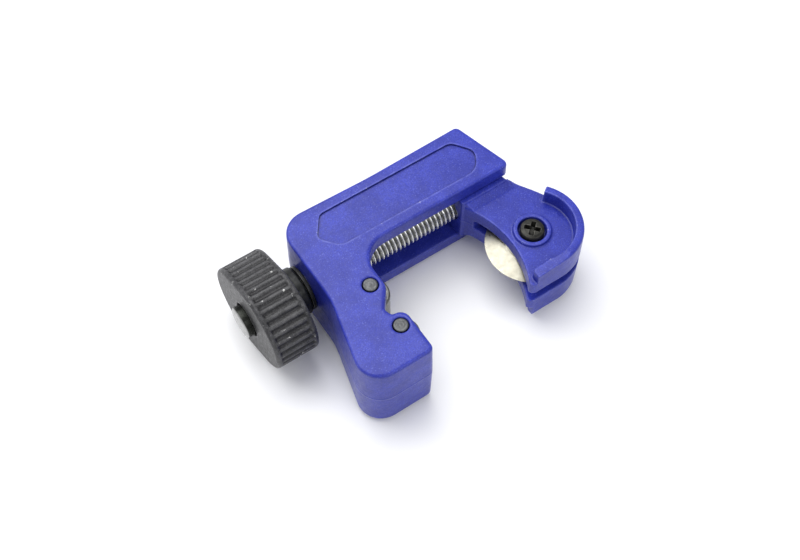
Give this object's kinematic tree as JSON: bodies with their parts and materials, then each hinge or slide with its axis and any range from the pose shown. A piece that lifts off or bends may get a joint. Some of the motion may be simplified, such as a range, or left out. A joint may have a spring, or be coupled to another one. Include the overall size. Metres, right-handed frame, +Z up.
{
  "type": "pipe cutter",
  "caption": "Compact screw-feed pipe cutter: C-shaped frame with guide rollers, sliding forked carriage with a cutter wheel, and an oblong fluted knob on a feed screw.",
  "frame": {"origin": "on the underside of the frame, straight below the feed screw's axis, level with the two roller pins", "axes": "+X along the feed screw from the knob to the cutter, +Y from the jaw opening to the rail, +Z up through the frame's thickness, which is also the direction of the pipe"},
  "size_m": [0.0666, 0.041, 0.021],
  "materials": {
    "blue_paint": "satin powder coat",
    "black_enamel": "satin",
    "dark_steel": "blackened",
    "zinc_plate": "bright zinc plate",
    "steel": "turned",
    "roller_steel": "turned",
    "tool_steel": "ground",
    "bronze": "plain"
  },
  "bodies": {
    "frame": {"frame": "blue_paint", "roller_pin_upper": "steel", "roller_pin_lower": "steel", "outer_thrust_washer": "steel", "inner_thrust_washer": "steel"},
    "feed": {"feed_screw": "zinc_plate", "knob": "black_enamel", "knob_collar": "dark_steel", "retaining_ring": "dark_steel"},
    "slide": {"carriage": "blue_paint", "wheel_screw": "dark_steel", "wheel_bushing": "bronze"},
    "wheel": {"cutter_wheel": "tool_steel"},
    "roller_upper": {"roller_upper": "roller_steel"},
    "roller_lower": {"roller_lower": "roller_steel"}
  },
  "joints": [
    {"name": "knob_turn", "type": "hinge", "parent": "frame", "child": "feed", "pos_m": [0, 0, 0.0093], "axis": [1, 0, 0], "range_deg": [0, 8100]},
    {"name": "carriage_slide", "type": "slide", "parent": "frame", "child": "slide", "axis": [-1, 0, 0], "range_m": [0, 0.0225]},
    {"name": "cutter_wheel_spin", "type": "hinge", "parent": "slide", "child": "wheel", "pos_m": [0.0343, -0.0164, 0.0093], "axis": [0, 0, 1], "continuous": true},
    {"name": "roller_upper_spin", "type": "hinge", "parent": "frame", "child": "roller_upper", "pos_m": [0, -0.0113, 0.0093], "axis": [0, 0, 1], "continuous": true},
    {"name": "roller_lower_spin", "type": "hinge", "parent": "frame", "child": "roller_lower", "pos_m": [0, -0.0215, 0.0093], "axis": [0, 0, 1], "continuous": true}
  ],
  "couplings": [
    {"joint": "carriage_slide", "follows": "knob_turn", "m_per_rad": 0.00015915}
  ]
}
